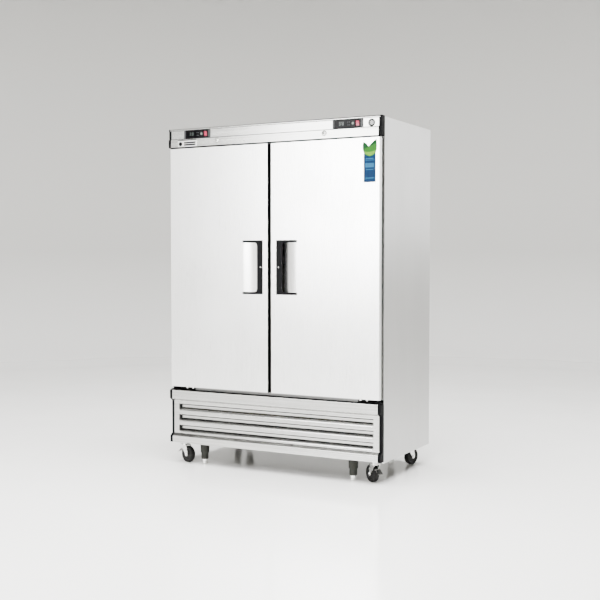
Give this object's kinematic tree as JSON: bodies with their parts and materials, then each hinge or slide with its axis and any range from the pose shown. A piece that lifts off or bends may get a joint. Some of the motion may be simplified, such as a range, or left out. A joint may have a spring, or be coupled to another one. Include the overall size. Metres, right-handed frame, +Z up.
{
  "type": "two-door reach-in refrigerator",
  "caption": "Upright stainless two-door reach-in refrigerator with a control header, louvred lower grille, swivel casters and levelling legs.",
  "frame": {"origin": "on the floor, under the middle of the cabinet's width and depth", "axes": "+X to the right as seen from the front, +Y to the back (the doors face -Y), +Z up"},
  "size_m": [1.26, 0.656, 1.82],
  "materials": {
    "stainless": "fine brushed stainless sheet",
    "brushed_front": "horizontally brushed stainless sheet",
    "galvanised": "dull galvanised sheet",
    "dark_paint": "dark grey paint",
    "foam": "matt rigid foam",
    "white_liner": "satin white",
    "black_plastic": "fine-grained black",
    "black_steel": "satin black paint",
    "bezel": "glossy black",
    "rocker": "glossy red",
    "zinc": "bright zinc plate",
    "gasket": "matt black",
    "tread": "matt black tread",
    "aluminium": "satin",
    "coated_wire": "light grey coating"
  },
  "bodies": {
    "cabinet": {"side_panel_left": "stainless", "side_panel_right": "stainless", "header_panel": "brushed_front", "grille_panel": "brushed_front", "face_frame": "brushed_front", "back_panel": "galvanised", "top_panel": "galvanised", "base_pan": "dark_paint", "insulation": "foam", "liner_left": "white_liner", "liner_right": "white_liner", "evaporator_left": "white_liner", "evaporator_right": "white_liner", "header_end_cap_left": "black_plastic", "header_end_cap_right": "black_plastic", "grille_end_cap_left": "black_plastic", "grille_end_cap_right": "black_plastic", "hinge_bracket_left": "black_steel", "hinge_bracket_right": "black_steel", "condensing_unit_left": "black_steel", "condensing_unit_right": "black_steel", "controller_left": "bezel", "controller_right": "bezel", "badge_plate": "aluminium", "shelf_lower_left": "coated_wire", "shelf_lower_right": "coated_wire", "shelf_middle_left": "coated_wire", "shelf_middle_right": "coated_wire", "shelf_upper_left": "coated_wire", "shelf_upper_right": "coated_wire"},
    "door_left": {"door_skin_left": "stainless", "door_liner_left": "white_liner", "door_gasket_left": "gasket", "door_grip_left": "black_plastic"},
    "rocker_switch_left": {"rocker_switch_left": "rocker"},
    "header_lock_left": {"header_lock_left": "zinc"},
    "condenser_fan_left": {"condenser_fan_left": "aluminium"},
    "evaporator_fan_left": {"evaporator_fan_left": "black_plastic"},
    "door_right": {"door_skin_right": "stainless", "door_liner_right": "white_liner", "door_gasket_right": "gasket", "door_grip_right": "black_plastic"},
    "rocker_switch_right": {"rocker_switch_right": "rocker"},
    "header_lock_right": {"header_lock_right": "zinc"},
    "condenser_fan_right": {"condenser_fan_right": "aluminium"},
    "evaporator_fan_right": {"evaporator_fan_right": "black_plastic"},
    "caster_fork_front_left": {"caster_fork_front_left": "zinc"},
    "caster_wheel_front_left": {"caster_wheel_front_left": "tread"},
    "brake_pedal_front_left": {"brake_pedal_front_left": "zinc"},
    "caster_fork_front_right": {"caster_fork_front_right": "zinc"},
    "caster_wheel_front_right": {"caster_wheel_front_right": "tread"},
    "brake_pedal_front_right": {"brake_pedal_front_right": "zinc"},
    "caster_fork_rear_left": {"caster_fork_rear_left": "zinc"},
    "caster_wheel_rear_left": {"caster_wheel_rear_left": "tread"},
    "caster_fork_rear_right": {"caster_fork_rear_right": "zinc"},
    "caster_wheel_rear_right": {"caster_wheel_rear_right": "tread"},
    "leg_foot_front_left": {"leg_foot_front_left": "zinc"},
    "leg_foot_front_right": {"leg_foot_front_right": "zinc"},
    "leg_foot_rear_left": {"leg_foot_rear_left": "zinc"},
    "leg_foot_rear_right": {"leg_foot_rear_right": "zinc"}
  },
  "joints": [
    {"name": "door_left_hinge", "type": "hinge", "parent": "cabinet", "child": "door_left", "pos_m": [-0.61, -0.304, 1.0685], "axis": [0, 0, -1], "range_deg": [0, 110]},
    {"name": "rocker_left_press", "type": "hinge", "parent": "cabinet", "child": "rocker_switch_left", "pos_m": [-0.3935, -0.315, 1.7865], "axis": [1, 0, 0], "range_deg": [-16, 0]},
    {"name": "header_lock_left_turn", "type": "hinge", "parent": "cabinet", "child": "header_lock_left", "pos_m": [-0.318, -0.326, 1.7465], "axis": [0, 1, 0], "range_deg": [0, 90]},
    {"name": "condenser_fan_left_spin", "type": "hinge", "parent": "cabinet", "child": "condenser_fan_left", "pos_m": [-0.35, -0.177, 0.255], "axis": [0, 1, 0], "continuous": true},
    {"name": "evaporator_fan_left_spin", "type": "hinge", "parent": "cabinet", "child": "evaporator_fan_left", "pos_m": [-0.305, 0, 1.594], "axis": [0, 1, 0], "continuous": true},
    {"name": "door_right_hinge", "type": "hinge", "parent": "cabinet", "child": "door_right", "pos_m": [0.61, -0.304, 1.0685], "axis": [0, 0, 1], "range_deg": [0, 110]},
    {"name": "rocker_right_press", "type": "hinge", "parent": "cabinet", "child": "rocker_switch_right", "pos_m": [0.4995, -0.315, 1.7865], "axis": [1, 0, 0], "range_deg": [-16, 0]},
    {"name": "header_lock_right_turn", "type": "hinge", "parent": "cabinet", "child": "header_lock_right", "pos_m": [0.318, -0.326, 1.7465], "axis": [0, 1, 0], "range_deg": [0, 90]},
    {"name": "condenser_fan_right_spin", "type": "hinge", "parent": "cabinet", "child": "condenser_fan_right", "pos_m": [0.35, -0.177, 0.255], "axis": [0, 1, 0], "continuous": true},
    {"name": "evaporator_fan_right_spin", "type": "hinge", "parent": "cabinet", "child": "evaporator_fan_right", "pos_m": [0.305, 0, 1.594], "axis": [0, 1, 0], "continuous": true},
    {"name": "caster_front_left_swivel", "type": "hinge", "parent": "cabinet", "child": "caster_fork_front_left", "pos_m": [-0.573, -0.26, 0.1], "axis": [0, 0, 1], "continuous": true},
    {"name": "caster_front_left_roll", "type": "hinge", "parent": "caster_fork_front_left", "child": "caster_wheel_front_left", "pos_m": [-0.54897, -0.26689, 0.045], "axis": [0.2756, 0.9613, 0], "continuous": true},
    {"name": "brake_front_left_press", "type": "hinge", "parent": "caster_fork_front_left", "child": "brake_pedal_front_left", "pos_m": [-0.59223, -0.25449, 0.07], "axis": [-0.2756, -0.9613, 0], "range_deg": [0, 18]},
    {"name": "caster_front_right_swivel", "type": "hinge", "parent": "cabinet", "child": "caster_fork_front_right", "pos_m": [0.573, -0.26, 0.1], "axis": [0, 0, 1], "continuous": true},
    {"name": "caster_front_right_roll", "type": "hinge", "parent": "caster_fork_front_right", "child": "caster_wheel_front_right", "pos_m": [0.55203, -0.24638, 0.045], "axis": [-0.5446, -0.8387, 0], "continuous": true},
    {"name": "brake_front_right_press", "type": "hinge", "parent": "caster_fork_front_right", "child": "brake_pedal_front_right", "pos_m": [0.58977, -0.27089, 0.07], "axis": [0.5446, 0.8387, 0], "range_deg": [0, 18]},
    {"name": "caster_rear_left_swivel", "type": "hinge", "parent": "cabinet", "child": "caster_fork_rear_left", "pos_m": [-0.545, 0.237, 0.1], "axis": [0, 0, 1], "continuous": true},
    {"name": "caster_rear_left_roll", "type": "hinge", "parent": "caster_fork_rear_left", "child": "caster_wheel_rear_left", "pos_m": [-0.55273, 0.26078, 0.045], "axis": [-0.9511, -0.309, 0], "continuous": true},
    {"name": "caster_rear_right_swivel", "type": "hinge", "parent": "cabinet", "child": "caster_fork_rear_right", "pos_m": [0.545, 0.237, 0.1], "axis": [0, 0, 1], "continuous": true},
    {"name": "caster_rear_right_roll", "type": "hinge", "parent": "caster_fork_rear_right", "child": "caster_wheel_rear_right", "pos_m": [0.55273, 0.26078, 0.045], "axis": [-0.9511, 0.309, 0], "continuous": true},
    {"name": "leg_front_left_level", "type": "slide", "parent": "cabinet", "child": "leg_foot_front_left", "axis": [0, 0, 1], "range_m": [0, 0.02]},
    {"name": "leg_front_right_level", "type": "slide", "parent": "cabinet", "child": "leg_foot_front_right", "axis": [0, 0, 1], "range_m": [0, 0.02]},
    {"name": "leg_rear_left_level", "type": "slide", "parent": "cabinet", "child": "leg_foot_rear_left", "axis": [0, 0, 1], "range_m": [0, 0.02]},
    {"name": "leg_rear_right_level", "type": "slide", "parent": "cabinet", "child": "leg_foot_rear_right", "axis": [0, 0, 1], "range_m": [0, 0.02]}
  ]
}
